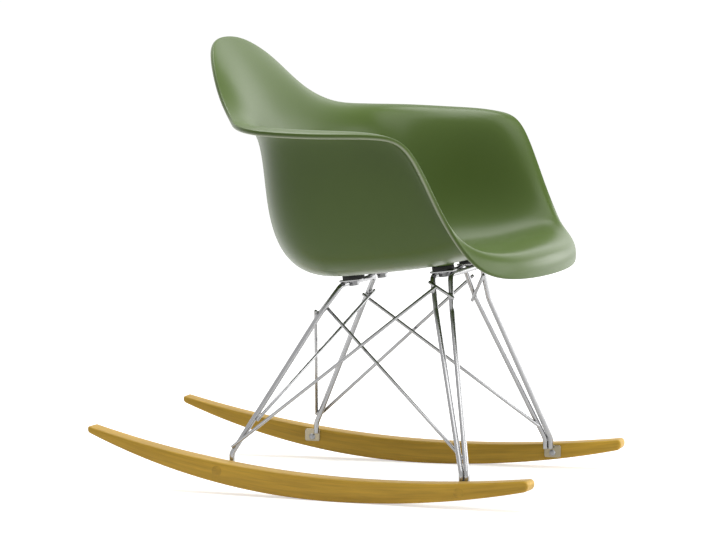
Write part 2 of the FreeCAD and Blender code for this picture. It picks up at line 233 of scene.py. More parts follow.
def wornMaterial(name, look):
    # Colour and roughness drift between two values over the broad mask
    material, tree, shader = newMaterial(name)
    wear = addGroup(tree, surfaceWear, (-900, 0), Broad_Scale=look["broadScale"],
                    Fine_Scale=look["fineScale"], Relief=look["relief"], Depth=look["depth"])
    tree.links.new(objectSpace(tree), wear.inputs["Vector"])
    blend = addNode(tree, "ShaderNodeMix", (-300, 200), data_type="RGBA")
    for socket, value in zip(("A", "B"), (look["colour"], look["colourDrift"])):
        colourSocket(blend, socket).default_value = (*value, 1)
    tree.links.new(wear.outputs["Broad"], blend.inputs["Factor"])
    tree.links.new(colourResult(blend), shader.inputs["Base Color"])
    rough = addNode(tree, "ShaderNodeMapRange", (-300, -100))
    rough.inputs["To Min"].default_value = look["roughness"][0]
    rough.inputs["To Max"].default_value = look["roughness"][1]
    tree.links.new(wear.outputs["Fine"], rough.inputs["Value"])
    tree.links.new(rough.outputs["Result"], shader.inputs["Roughness"])
    tree.links.new(wear.outputs["Normal"], shader.inputs["Normal"])
    shader.inputs["Metallic"].default_value = look["metallic"]
    shader.inputs["Specular IOR Level"].default_value = look["specular"]
    return material


def colourSocket(mix, name):
    return [s for s in mix.inputs if s.name == name and s.type == "RGBA"][0]


def colourResult(mix):
    return [s for s in mix.outputs if s.type == "RGBA"][0]


def paintRimHighlight(material, look):
    # Painted highlight: base colour paler where the mesh's rim value is 1, a thin line along the rolled
    # edge; smoother there too
    tree = material.node_tree
    shader = tree.nodes["Principled BSDF"]
    rim = addNode(tree, "ShaderNodeAttribute", (-300, 500), attribute_name="rim")
    pale = addNode(tree, "ShaderNodeMix", (0, 300), data_type="RGBA")
    colourSocket(pale, "B").default_value = (*look["rimHighlightColour"], 1)
    smoother = addNode(tree, "ShaderNodeMath", (-150, -300), operation="MULTIPLY")
    smoother.inputs[1].default_value = look["rimShine"]
    lower = addNode(tree, "ShaderNodeMath", (50, -200), operation="SUBTRACT")
    link = tree.links.new
    link(rim.outputs["Fac"], pale.inputs["Factor"])
    link(shader.inputs["Base Color"].links[0].from_socket, colourSocket(pale, "A"))
    link(rim.outputs["Fac"], smoother.inputs[0])
    link(shader.inputs["Roughness"].links[0].from_socket, lower.inputs[0])
    link(smoother.outputs[0], lower.inputs[1])
    link(colourResult(pale), shader.inputs["Base Color"])
    link(lower.outputs[0], shader.inputs["Roughness"])


shellLook = {
    "colour": (0.062, 0.104, 0.0150), "colourDrift": (0.069, 0.114, 0.0170),
    "broadScale": 7.0, "fineScale": 850.0, "relief": 0.14, "depth": 0.0002,
    "roughness": (0.27, 0.39), "metallic": 0.0, "specular": 0.26,
    # The rim colour is a painted highlight along the rolled edge; the rim shine lowers roughness there
    "rimHighlightColour": (0.36, 0.40, 0.27), "rimShine": 0.10,
}
chromeLook = {
    "colour": (0.30, 0.30, 0.31), "colourDrift": (0.39, 0.39, 0.39),
    "broadScale": 30.0, "fineScale": 300.0, "relief": 0.01, "depth": 0.0001,
    "roughness": (0.18, 0.28), "metallic": 1.0, "specular": 0.5,
}
weldLook = dict(chromeLook, fineScale=250.0, relief=0.35, depth=0.0004, roughness=(0.22, 0.4))
# Foot plates: chrome with a wood-brown colour, a painted reflection of the rocker beside them
footPlateReflectionLook = dict(chromeLook, colour=(0.26, 0.225, 0.155), colourDrift=(0.32, 0.28, 0.20),
                     roughness=(0.1, 0.2))
rubberLook = {
    "colour": (0.014, 0.014, 0.014), "colourDrift": (0.024, 0.024, 0.024),
    "broadScale": 60.0, "fineScale": 1500.0, "relief": 0.2, "depth": 0.0002,
    "roughness": (0.6, 0.75), "metallic": 0.0, "specular": 0.3,
}
steelLook = {
    "colour": (0.22, 0.22, 0.22), "colourDrift": (0.32, 0.32, 0.33),
    "broadScale": 80.0, "fineScale": 900.0, "relief": 0.1, "depth": 0.0001,
    "roughness": (0.28, 0.4), "metallic": 1.0, "specular": 0.5,
}
brassLook = {
    "colour": (0.55, 0.38, 0.14), "colourDrift": (0.62, 0.45, 0.18),
    "broadScale": 80.0, "fineScale": 900.0, "relief": 0.1, "depth": 0.0001,
    "roughness": (0.25, 0.4), "metallic": 1.0, "specular": 0.5,
}
shellPlastic = wornMaterial("shell_plastic", shellLook)
paintRimHighlight(shellPlastic, shellLook)
wireChrome = wornMaterial("wire_chrome", chromeLook)
weldSteel = wornMaterial("weld_chrome", weldLook)
footPlateReflectionChrome = wornMaterial("foot_plate_painted_reflection", footPlateReflectionLook)
mountRubber = wornMaterial("mount_rubber", rubberLook)
fastenerSteel = wornMaterial("fastener_steel", steelLook)
insertBrass = wornMaterial("insert_brass", brassLook)


def woodGrainGroup():
    # Long streaks: noise stretched along Y, over slow bands, both as masks, and a fine normal
    group, source, sink = newGroup(
        "WoodGrain",
        [("Vector", "NodeSocketVector", None), ("Streak Scale", "NodeSocketFloat", 60.0),
         ("Stretch", "NodeSocketFloat", 0.06), ("Relief", "NodeSocketFloat", 0.1)],
        [("Streaks", "NodeSocketFloat"), ("Bands", "NodeSocketFloat"), ("Normal", "NodeSocketVector")])
    link = group.links.new
    parts = addNode(group, "ShaderNodeSeparateXYZ", (-700, 0))
    shorten = addNode(group, "ShaderNodeMath", (-550, 100), operation="MULTIPLY")
    rebuilt = addNode(group, "ShaderNodeCombineXYZ", (-400, 0))
    streaks = addNode(group, "ShaderNodeTexNoise", (-200, 200), Detail=6.0, Roughness=0.65, Distortion=0.3)
    bands = addNode(group, "ShaderNodeTexNoise", (-200, -50), Detail=2.0, Roughness=0.5, Distortion=0.8)
    slower = addNode(group, "ShaderNodeMath", (-400, -200), operation="MULTIPLY")
    slower.inputs[1].default_value = 0.25  # bands are four times as wide as streaks
    bump = addNode(group, "ShaderNodeBump", (200, -200), Distance=0.0002)
    link(source.outputs["Vector"], parts.inputs[0])
    link(parts.outputs["Y"], shorten.inputs[0])
    link(source.outputs["Stretch"], shorten.inputs[1])
    link(parts.outputs["X"], rebuilt.inputs["X"])
    link(shorten.outputs[0], rebuilt.inputs["Y"])
    link(parts.outputs["Z"], rebuilt.inputs["Z"])
    link(rebuilt.outputs[0], streaks.inputs["Vector"])
    link(rebuilt.outputs[0], bands.inputs["Vector"])
    link(source.outputs["Streak Scale"], streaks.inputs["Scale"])
    link(source.outputs["Streak Scale"], slower.inputs[0])
    link(slower.outputs[0], bands.inputs["Scale"])
    link(source.outputs["Relief"], bump.inputs["Strength"])
    link(streaks.outputs["Fac"], bump.inputs["Height"])
    link(streaks.outputs["Fac"], sink.inputs["Streaks"])
    link(bands.outputs["Fac"], sink.inputs["Bands"])
    link(bump.outputs["Normal"], sink.inputs["Normal"])
    return group


woodGrain = woodGrainGroup()


def woodMaterial(name, look):
    # Pale to dark over the bands, darker fine streaks, a clear coat on top
    material, tree, shader = newMaterial(name)
    source = addNode(tree, "ShaderNodeAttribute", (-1200, 0), attribute_name="grain")
    grain = addGroup(tree, woodGrain, (-900, 0), Streak_Scale=look["streakScale"],
                     Stretch=look["stretch"], Relief=look["relief"])
    tree.links.new(source.outputs["Vector"], grain.inputs["Vector"])
    ramp = addNode(tree, "ShaderNodeValToRGB", (-600, 200))
    for stop, place, colour in zip(ramp.color_ramp.elements, look["bandRange"], ("dark", "pale")):
        stop.position = place
        stop.color = (*look[colour], 1)
    tree.links.new(grain.outputs["Bands"], ramp.inputs["Fac"])
    fade = addNode(tree, "ShaderNodeMapRange", (-600, -100))
    fade.inputs["From Min"].default_value, fade.inputs["From Max"].default_value = look["streakRange"]
    fade.inputs["To Min"].default_value = look["streakDepth"]
    fade.inputs["To Max"].default_value = 1.0
    tree.links.new(grain.outputs["Streaks"], fade.inputs["Value"])
    shade = addNode(tree, "ShaderNodeVectorMath", (-250, 100), operation="SCALE")
    tree.links.new(ramp.outputs["Color"], shade.inputs[0])
    tree.links.new(fade.outputs["Result"], shade.inputs["Scale"])
    tree.links.new(shade.outputs[0], shader.inputs["Base Color"])
    tree.links.new(grain.outputs["Normal"], shader.inputs["Normal"])
    shader.inputs["Roughness"].default_value = look["roughness"]
    shader.inputs["Specular IOR Level"].default_value = look["specular"]
    shader.inputs["Coat Weight"].default_value = look["coat"]
    shader.inputs["Coat Roughness"].default_value = look["coatRoughness"]
    return material


rockerWoodLook = {
    "pale": (0.73, 0.440, 0.050), "dark": (0.57, 0.335, 0.033), "streakScale": 240.0, "stretch": 0.04,
    "streakDepth": 0.72, "streakRange": (0.35, 0.7), "bandRange": (0.3, 0.7), "relief": 0.15,
    "roughness": 0.5, "specular": 0.25, "coat": 0.15, "coatRoughness": 0.3,
}
plugWoodLook = dict(rockerWoodLook, pale=(0.65, 0.39, 0.045), dark=(0.53, 0.31, 0.031), stretch=0.3)
rockerWood = woodMaterial("rocker_wood", rockerWoodLook)
plugWood = woodMaterial("plug_wood", plugWoodLook)
print("materials made")


# Seat shell: the same control net as the moulding, with a rolled edge

shellShape = {
    "seatMiddle": (0, -0.070, 0.326), "seatSlope": -0.127, "flatShare": 0.5, "blendShare": 0.72,
    "wall": 0.005, "edgeReach": 0.006, "edgeDrop": 0.0064,
    "aroundSamples": 336, "flatRings": 8, "faceRows": 52, "edgeRows": 64, "rimSharpness": 30,
}
# Right half from the front edge round the arm to the back: foot of the wall, wall, flare, edge
shellStations = [
    ((0, -0.215, 0.35), (0, -0.286, 0.364), (0, -0.318, 0.354), (0, -0.315, 0.324)),
    ((0.075, -0.213, 0.35), (0.09, -0.283, 0.363), (0.099, -0.312, 0.352), (0.104, -0.309, 0.325)),
    ((0.14, -0.205, 0.35), (0.17, -0.267, 0.365), (0.184, -0.287, 0.357), (0.189, -0.286, 0.33)),
    ((0.18, -0.185, 0.347), (0.212, -0.227, 0.375), (0.225, -0.248, 0.381), (0.229, -0.257, 0.355)),
    ((0.2, -0.155, 0.344), (0.228, -0.184, 0.399), (0.238, -0.203, 0.436), (0.248, -0.216, 0.427)),
    ((0.205, -0.115, 0.34), (0.236, -0.135, 0.415), (0.245, -0.16, 0.516), (0.263, -0.178, 0.525)),
    ((0.206, -0.075, 0.335), (0.24, -0.085, 0.42), (0.255, -0.112, 0.547), (0.281, -0.141, 0.54)),
    ((0.206, -0.035, 0.332), (0.242, -0.035, 0.42), (0.266, -0.053, 0.55), (0.314, -0.061, 0.538)),
    ((0.203, 0, 0.332), (0.238, 0.015, 0.421), (0.263, 0.013, 0.553), (0.319, 0.041, 0.541)),
    ((0.183, 0.031, 0.334), (0.217, 0.049, 0.419), (0.234, 0.052, 0.545), (0.272, 0.087, 0.546)),
    ((0.154, 0.053, 0.336), (0.184, 0.072, 0.418), (0.194, 0.072, 0.534), (0.21, 0.113, 0.549)),
    ((0.12, 0.069, 0.335), (0.144, 0.087, 0.415), (0.15, 0.089, 0.54), (0.163, 0.15, 0.578)),
    ((0.084, 0.08, 0.33), (0.1, 0.094, 0.413), (0.108, 0.105, 0.549), (0.123, 0.178, 0.625)),
    ((0.043, 0.086, 0.326), (0.051, 0.096, 0.411), (0.056, 0.118, 0.554), (0.063, 0.203, 0.656)),
    ((0, 0.089, 0.323), (0, 0.096, 0.41), (0, 0.125, 0.554), (0, 0.209, 0.66)),
]
halfWall = shellShape["wall"] / 2
# Rolled edge from the inner face round to the outer: share of edgeReach, metres, share of edgeDrop
edgeSteps = [
    (0.1, halfWall, 0), (0.38, 0.5 * halfWall, 0), (0.5, 0, -0.3), (0.36, 0, -0.9),
    (-0.1, 0, -1.05), (-0.5, 0, -0.75), (-0.8, -halfWall, 0),
]


def shellNet():
    # Control points (column, row, xyz) once round the seat, both halves
    half = np.array(shellStations, float)
    middle = np.array(shellShape["seatMiddle"])
    foot = half[:, 0]
    rings = []
    for share in (shellShape["flatShare"], shellShape["blendShare"]):
        ring = middle + (foot - middle) * share
        ring[:, 2] = middle[2] + shellShape["seatSlope"] * (ring[:, 1] - middle[1])
        rings.append(ring)
    half = np.concatenate([np.stack(rings, 1), half], 1)
    other = half[1:-1][::-1] * np.array([-1, 1, 1])
    return np.concatenate([half, other])


def shellRings():
    # Offset of the net by half the wall to both sides, and the rolled edge between them
    net = shellNet()
    rows = net.shape[1]
    around = np.roll(net, -1, 0) - np.roll(net, 1, 0)
    outward = np.empty_like(net)
    outward[:, 1:-1] = net[:, 2:] - net[:, :-2]
    outward[:, 0] = net[:, 1] - net[:, 0]
    outward[:, -1] = net[:, -1] - net[:, -2]
    normals = unit(np.cross(outward, around))
    normals[:, :2] = unit(np.array([0, -shellShape["seatSlope"], 1]))
    inside = [net[:, j] + normals[:, j] * halfWall for j in range(rows - 1)]
    outside = [net[:, j] - normals[:, j] * halfWall for j in range(rows - 1)]
    rim = unit(around[:, -1])
    out = net[:, -1] - net[:, -2]
    out = unit(out - rim * (out * rim).sum(-1, keepdims=True))
    face = np.cross(out, rim)
    edge = []
    for reach, lift, drop in edgeSteps:
        rise = lift + drop * shellShape["edgeDrop"]
        edge.append(net[:, -1] + out * reach * shellShape["edgeReach"] + face * rise)
    return inside, edge, outside[::-1]


def roundBasis(count, samples):
    # Uniform cubic B-spline weights round a closed ring of count control points
    place = np.arange(samples) * count / samples
    start = np.floor(place).astype(int)
    t = place - start
    weights = np.stack([(1 - t) ** 3, 3 * t ** 3 - 6 * t ** 2 + 4,
                        -3 * t ** 3 + 3 * t ** 2 + 3 * t + 1, t ** 3], -1) / 6
    basis = np.zeros((samples, count))
    for k in range(4):
        np.add.at(basis, (np.arange(samples), (start + k - 1) % count), weights[:, k])
    return basis


def clampedBasis(count, places):
    # Cubic B-spline weights with both ends on the outer control points, by de Boor's recursion
    knots = np.concatenate([[0] * 3, np.arange(count - 2), [count - 3] * 3]).astype(float)
    justInside = count - 3 - 1e-9
    places = np.clip(places, 0, justInside)[:, None]
    weights = ((places >= knots[:-1]) & (places < knots[1:])).astype(float)
    for degree in range(1, 4):
        below = places - knots[:-degree - 1]
        above = knots[degree + 1:] - places
        gapA = knots[degree:-1] - knots[:-degree - 1]
        gapB = knots[degree + 1:] - knots[1:-degree]
        a = np.divide(below, gapA, out=np.zeros_like(below), where=gapA > 0)
        b = np.divide(above, gapB, out=np.zeros_like(above), where=gapB > 0)
        weights = a * weights[:, :-1] + b * weights[:, 1:]
    return weights


def shellSurface():
    # S(u, v) = sum of round weight(u) * clamped weight(v) * control point, flat discs in the middle
    inside, edge, outside = shellRings()
    control = np.stack(inside + edge + outside)
    spans = len(control) - 3
    first = len(inside) - 2
    last = first + len(edge) + 1
    places = np.concatenate([
        np.linspace(0, first, shellShape["faceRows"], endpoint=False),
        np.linspace(first, last, shellShape["edgeRows"], endpoint=False),
        np.linspace(last, spans, shellShape["faceRows"]),
    ])
    aroundWeights = roundBasis(control.shape[1], shellShape["aroundSamples"])
    rings = np.einsum("vj,ui,jik->vuk", clampedBasis(len(control), places), aroundWeights, control)
    shares = (np.arange(1, shellShape["flatRings"]) / shellShape["flatRings"])[:, None, None]
    top = rings[0].mean(0) + (rings[0] - rings[0].mean(0)) * shares
    bottom = rings[-1].mean(0) + (rings[-1] - rings[-1].mean(0)) * shares[::-1]
    # Rim value, the mask of the painted highlight: sine to a high power over the rows of the edge, so a thin
    # line along its middle
    rim = np.zeros((len(top) + len(rings) + len(bottom), shellShape["aroundSamples"]))
    start = len(top) + shellShape["faceRows"]
    rise = np.sin(np.linspace(0, np.pi, shellShape["edgeRows"])) ** shellShape["rimSharpness"]
    rim[start:start + shellShape["edgeRows"]] = rise[:, None]
    return closedSurface(np.concatenate([top, rings, bottom])), rim.ravel()


# Mounts: the same plane and stack as the base

mountShape = {
    "tilt": 7.2, "halfSpacing": 0.062, "rear": (-0.019, 0.3124), "frontY": -0.159,
    "rubberRadius": 0.0165, "rubberThickness": 0.007, "rubberRim": 0.0012,
    "bossRadius": 0.017, "bossRise": 0.0056, "bossRim": 0.0008, "bossAround": 48, "rubberAround": 64,
    "plateThickness": 0.003,
}
tiltAngle = math.radians(mountShape["tilt"])
mountUp = np.array([0, math.sin(tiltAngle), math.cos(tiltAngle)])
mountForward = np.array([0, -math.cos(tiltAngle), math.sin(tiltAngle)])


def mountPoint(side, front):
    y, z = mountShape["rear"]
    if front:
        z += (y - mountShape["frontY"]) * math.tan(tiltAngle)
        y = mountShape["frontY"]
    return np.array([side * mountShape["halfSpacing"], y, z])


def makeShell():
    # The moulded surface, with four short bosses standing down from it
    surface, rim = shellSurface()
    parts = [surface]
    low = mountShape["rubberThickness"] / 2
    high = low + mountShape["bossRise"]
    profile = roundedProfile(mountShape["bossRadius"], low, high, mountShape["bossRim"])
    for side in (1, -1):
        for front in (True, False):
            boss = revolved(profile, mountPoint(side, front), mountUp, mountShape["bossAround"])
            parts.append(closedSurface(boss))
    points, faces = joined(parts)
    piece = makePiece("shell_body", points, faces, shellPlastic, "shell_plastic", ["seat_shell"])
    rim = np.concatenate([rim, np.zeros(len(points) - len(rim))])
    attribute = piece.data.attributes.new("rim", "FLOAT", "POINT")
    attribute.data.foreach_set("value", rim.astype(np.float32))
    print("shell made")


def makeRubberMounts():
    # Revolved discs with rounded rims, one on each plate
    half = mountShape["rubberThickness"] / 2
    profile = roundedProfile(mountShape["rubberRadius"], -half, half, mountShape["rubberRim"])
    discs = []
    for side in (1, -1):
        for front in (True, False):
            disc = revolved(profile, mountPoint(side, front), mountUp, mountShape["rubberAround"])
            discs.append(closedSurface(disc))
    points, faces = joined(discs)
    makePiece("rubber_discs", points, faces, mountRubber, "mount_rubber", ["shock_mounts"])
    print("rubber mounts made")


# Plates: rounded outlines with softened edges, on the same points as the solids

plateShape = {
    "mountHalfWidth": 0.013, "cornerRadius": 0.004, "noseRadius": 0.0125,
    "frontReach": (0.018, 0.018), "rearReach": (0.014, 0.020), "cornerSteps": 8,
    "soften": 0.0006, "support": 0.0015,
    "footThickness": 0.003, "footCorner": 0.003, "footLow": -0.007, "footHigh": 0.012,
    "footHalfWidths": {"rear": 0.012, "front": 0.013},
}


def roundedOutline(low, high, radii, inset):
    # Corners at c + r (cos t, sin t), each a quarter turn, once round from the +x +y corner
    turn = np.linspace(0, np.pi / 2, plateShape["cornerSteps"])
    points = []
    corners = [(high[0], high[1], 1, 1), (low[0], high[1], -1, 1), (low[0], low[1], -1, -1),
               (high[0], low[1], 1, -1)]
    for k, ((x, y, signX, signY), radius) in enumerate(zip(corners, radii)):
        angle = turn + k * np.pi / 2
        size = radius - inset
        centre = np.array([x - signX * radius, y - signY * radius])
        points.append(centre + size * np.stack([np.cos(angle), np.sin(angle)], -1))
    return np.concatenate(points)


def softPlate(low, high, radii, thickness, origin, e1, e2):
    # P = origin + x e1 + y e2 - z n, rings: flat face, soft edge, side, side, soft edge, flat face
    soften, support = plateShape["soften"], plateShape["support"]
    normal = np.cross(e1, e2)
    rings = []
    steps = ((support, 0), (soften, 0), (0, soften), (0, thickness - soften), (soften, thickness),
             (support, thickness))
    for inset, depth in steps:
        flat = roundedOutline(low, high, radii, inset)
        rings.append(origin + flat[:, :1] * e1 + flat[:, 1:] * e2 - depth * normal)
    return closedSurface(np.array(rings)[::-1])


def makeMountPlates():
    # Under each rubber disc, square with the mounts, the rear ones with a round nose
    half = plateShape["mountHalfWidth"]
    corner, nose = plateShape["cornerRadius"], plateShape["noseRadius"]
    for side, sideName in ((1, "left"), (-1, "right")):
        for front, endName in ((True, "front"), (False, "rear")):
            fore, aft = plateShape["frontReach"] if front else plateShape["rearReach"]
            foreRadius = corner if front else nose
            origin = mountPoint(side, front) - mountUp * mountShape["rubberThickness"] / 2
            plate = softPlate((-half, -fore), (half, aft), (corner, corner, foreRadius, foreRadius),
                              mountShape["plateThickness"], origin, across, -mountForward)
            name = "mount_plate_" + endName + "_" + sideName
            makePiece(name + "_tab", *plate, wireChrome, "wire_chrome", [name])
    print("mount plates made")


# Wire base: rods bent through the same points as the solids

baseShape = {
    "rodRadius": 0.004, "wireRadius": 0.0025, "weldBite": 0.0001, "endRound": 0.0006,
    "barBendX": 0.074, "barBend": 0.013, "kneeBend": 0.030, "footBend": 0.016,
    "twinBarOffset": 0.014, "rearBarOffset": 0.016,
    "rearKnee": (0.097, 0.020, 0.260), "foreKnee": (0.086, -0.181, 0.271), "aftKnee": (0.092, -0.158, 0.272),
    "rearFootAlong": 0.1305, "frontFootAlong": -0.238, "twinFootGap": 0.0083,
    "rodEndDrop": 0.007, "rodFootRise": 0.009,
    "braceOverhang": 0.003, "around": 24, "bendSteps": 12,
    "beadLength": 0.0052, "beadRadius": 0.0027, "beadTip": 0.15, "beadRings": 9, "beadAround": 16,
    "risingWelds": (0.068, 0.298), "fallingWelds": (0.270, 0.074),
    "rearCrossWelds": {1: (0.072, 0.257), -1: (0.112, 0.276)},
    "tieWelds": {1: (0.274, 0.304), -1: (0.305, 0.290)},
    "rearPlateAlong": 0.1385, "frontPlateAlong": -0.244,
}
rockerShape = {
    "length": 0.700, "width": 0.030, "halfSpacing": 0.209, "toeOut": 3.55, "lowY": -0.050,
    "bottomRear": 1.030, "bottomFront": 1.400, "topLow": (-0.095, 0.0332), "topRear": 1.750,
    "topFront": 2.150, "edge": 0.003, "frontNose": 0.007, "rearNose": 0.0036,
    "boltDrop": 0.014, "stations": 160, "noseStations": 14, "cornerSteps": 6, "edgeDivisor": 2.05,
    "grainShift": (0.31, 0.07),
}


def arcHeight(y, lowY, lowZ, rear, front):
    # z = lowZ + R - sqrt(R^2 - (y - lowY)^2), with R by the side of the low point
    y = np.asarray(y, float)
    radius = np.where(y > lowY, rear, front)
    return lowZ + radius - np.sqrt(radius ** 2 - (y - lowY) ** 2)


def rockerBottom(y):
    return arcHeight(y, rockerShape["lowY"], 0, rockerShape["bottomRear"], rockerShape["bottomFront"])


def rockerTop(y):
    return arcHeight(y, *rockerShape["topLow"], rockerShape["topRear"], rockerShape["topFront"])


def rockerTurn(side):
    # Rotation about Z by the toe-out, as rows of a matrix
    turn = math.radians(side * rockerShape["toeOut"])
    return np.array([[math.cos(turn), -math.sin(turn), 0], [math.sin(turn), math.cos(turn), 0], [0, 0, 1]])


def onRocker(side, points):
    # Rocker's own frame to the chair's
    return points @ rockerTurn(side).T + np.array([side * rockerShape["halfSpacing"], 0, 0])


# A rod's axis above the plate that it is welded on
rodLift = baseShape["rodRadius"] - baseShape["weldBite"]


def footPoint(side, along, rise):
    inward = rockerShape["width"] / 2 + plateShape["footThickness"] + rodLift
    return onRocker(side, np.array([-side * inward, along, float(rockerTop(along)) + rise]))


def barPoint(side, front, forward):
    drop = mountShape["rubberThickness"] / 2 + mountShape["plateThickness"] + rodLift
    corner = mountPoint(side, front) - mountUp * drop + mountForward * forward
    corner[0] = side * baseShape["barBendX"]
    return corner


def legPoints(side, along, knee, front, forward):
    knee = np.array(knee) * np.array([side, 1, 1])
    end = footPoint(side, along, -baseShape["rodEndDrop"])
    bend = footPoint(side, along, baseShape["rodFootRise"])
    return [end, bend, knee, barPoint(side, front, forward)]


twin = baseShape["twinFootGap"] / 2
rearRod = (baseShape["rearFootAlong"], baseShape["rearKnee"], False, -baseShape["rearBarOffset"])
foreRod = (baseShape["frontFootAlong"] - twin, baseShape["foreKnee"], True, baseShape["twinBarOffset"])
aftRod = (baseShape["frontFootAlong"] + twin, baseShape["aftKnee"], True, -baseShape["twinBarOffset"])


def roundedPath(points, radii):
    # Straight runs joined by arcs: P(t) = centre + R * (cos t * e1 + sin t * e2)
    path = [points[0]]
    for before, point, after, radius in zip(points, points[1:], points[2:], radii):
        back = unit(before - point)
        ahead = unit(after - point)
        half = math.acos(float(np.clip(back @ ahead, -1, 1))) / 2
        centre = point + unit(back + ahead) * radius / math.sin(half)
        start = point + back * radius / math.tan(half)
        e1 = unit(start - centre)
        e2 = -back
        t = np.linspace(0, np.pi - 2 * half, baseShape["bendSteps"])
        path += list(centre + radius * (np.cos(t)[:, None] * e1 + np.sin(t)[:, None] * e2))
    return np.array(path + [points[-1]])


def tube(path, radius):
    # P(s, t) = C(s) + r * (cos t * N(s) + sin t * B(s)), N carried along, ends slightly rounded
    steps = np.diff(path, axis=0)
    tangents = unit(np.concatenate([steps[:1], unit(steps[:-1]) + unit(steps[1:]), steps[-1:]]))
    helper = upward if abs(tangents[0][2]) < parallelLimit else across
    normal = unit(np.cross(tangents[0], helper))
    turn = np.linspace(0, 2 * np.pi, baseShape["around"], endpoint=False)
    rings = []
    for spot, tangent in zip(path, tangents):
        normal = unit(normal - tangent * (normal @ tangent))
        binormal = np.cross(tangent, normal)
        rings.append(spot + radius * (np.cos(turn)[:, None] * normal + np.sin(turn)[:, None] * binormal))
    soft = baseShape["endRound"]
    first = path[0] + (rings[0] - path[0]) * (1 - soft / radius)
    last = path[-1] + (rings[-1] - path[-1]) * (1 - soft / radius)
    rings[0] = rings[0] + tangents[0] * soft
    rings[-1] = rings[-1] - tangents[-1] * soft
    return closedSurface(np.array([first] + rings + [last]))


def rodSpot(side, rod, z):
    # Spot at a height on a leg, below or above its knee, and the run there: start + run * share
    bend, knee, top = legPoints(side, *rod)[1:]
    start, end = (bend, knee) if z < knee[2] else (knee, top)
    run = end - start
    return start + run * (z - start[2]) / run[2], run


def brace(first, second, towards):
    # Straight wire beside two rods: each end moved by n * (R + r), n = rod x wire; and its two welds
    line = second[0] - first[0]
    ends = []
    beads = []
    for spot, run in (first, second):
        square = unit(np.cross(run, line))
        if square @ towards < 0:
            square = -square
        ends.append(spot + square * (rodLift + baseShape["wireRadius"]))
        beads.append(weldBead(spot + square * baseShape["rodRadius"], unit(run)))
    reach = unit(ends[1] - ends[0]) * (baseShape["rodRadius"] + baseShape["braceOverhang"])
    path = np.array([ends[0] - reach, (ends[0] + ends[1]) / 2, ends[1] + reach])
    return tube(path, baseShape["wireRadius"]), beads


def weldBead(centre, along):
    # Spindle along the rod: r = R sin a, z = -L cos a
    turn = np.linspace(baseShape["beadTip"], np.pi - baseShape["beadTip"], baseShape["beadRings"])
    profile = np.stack([baseShape["beadRadius"] * np.sin(turn), -baseShape["beadLength"] * np.cos(turn)], -1)
    return closedSurface(revolved(profile, centre, along, baseShape["beadAround"]))


def makeRods():
    # Each goes up one leg, across under the seat and down the other
    bends = [baseShape["footBend"], baseShape["kneeBend"], baseShape["barBend"]]
    for rod, name in ((rearRod, "rear_bow"), (foreRod, "front_bow_fore"), (aftRod, "front_bow_aft")):
        points = legPoints(1, *rod) + legPoints(-1, *rod)[::-1]
        path = roundedPath(points, bends + bends[::-1])
        surface, faces = tube(path, baseShape["rodRadius"])
        makePiece(name + "_rod", surface, faces, wireChrome, "wire_chrome", [name])
    print("rods bent")


def makeWires():
    # Each wire: its name, first and second leg, the two weld heights and the side it lies on
    welds = []
    for side, sideName in ((1, "left"), (-1, "right")):
        outside = across * side
        rear, aft, fore = (side, rearRod), (side, aftRod), (side, foreRod)
        wires = [
            ("side_brace_rising_", rear, aft, baseShape["risingWelds"], outside),
            ("side_brace_falling_", rear, aft, baseShape["fallingWelds"], -outside),
            ("front_tie_", aft, fore, baseShape["tieWelds"][side], -side * outside),
            ("rear_brace_", rear, (-side, rearRod), baseShape["rearCrossWelds"][side],
             np.array([0, side, 0])),
        ]
        for start, first, second, heights, towards in wires:
            wire, beads = brace(rodSpot(*first, heights[0]), rodSpot(*second, heights[1]), towards)
            name = start + sideName
            makePiece(name + "_wire", *wire, wireChrome, "wire_chrome", [name])
            welds += beads
    makePiece("weld_beads", *joined(welds), weldSteel, "wire_chrome", None)
    print("wires laid")


boltShape = {
    "shankRadius": 0.003, "shankLength": 0.027, "shankBevel": 0.0005, "headRadius": 0.005,
    "headHeight": 0.0026, "headBevel": 0.0003, "domeTip": 0.12, "domeRings": 8, "around": 40,
}


def makeFootPlates():
    # Lower than the solid: each ends below the rocker's top, as the photo shows. A bolt goes through
    bolts = []
    corners = (plateShape["footCorner"],) * 4
    for side, sideName in ((1, "left"), (-1, "right")):
        turned = rockerTurn(side)
        inward = turned @ np.array([-side, 0, 0])
        along = turned @ np.array([0, -side, 0])
        for endName in ("rear", "front"):
            place = baseShape[endName + "PlateAlong"]
            half = plateShape["footHalfWidths"][endName]
            height = float(rockerTop(place)) - rockerShape["boltDrop"]
            reach = rockerShape["width"] / 2 + plateShape["footThickness"]
            face = onRocker(side, np.array([-side * reach, place, height]))
            plate = softPlate((-half, plateShape["footLow"]), (half, plateShape["footHigh"]), corners,
                              plateShape["footThickness"], face, along, upward)
            name = "foot_plate_" + endName + "_" + sideName
            makePiece(name + "_tab", *plate, footPlateReflectionChrome, "wire_chrome", [name])
            bolts.append(roundBolt(face, inward))
    makePiece("round_headed_bolts", *joined(bolts), fastenerSteel, "fastener_steel", ["rocker_bolts"])
    print("foot plates made")


def roundBolt(face, inward):
    # Revolved: shank r = R below the face, then a dome r = H cos a, z = h sin a
    turn = np.linspace(0, np.pi / 2 - boltShape["domeTip"], boltShape["domeRings"])
    shank, bevel = boltShape["shankRadius"], boltShape["shankBevel"]
    length = boltShape["shankLength"]
    rows = [(shank - bevel, -length), (shank, -length + bevel), (shank, 0),
            (boltShape["headRadius"] - boltShape["headBevel"], 0)]
    dome = np.stack([boltShape["headRadius"] * np.cos(turn), boltShape["headHeight"] * np.sin(turn)], -1)
    return closedSurface(revolved(np.concatenate([rows, dome]), face, inward, boltShape["around"]))


# Rockers: rounded-rectangle sections along two arcs, noses rounded at both ends

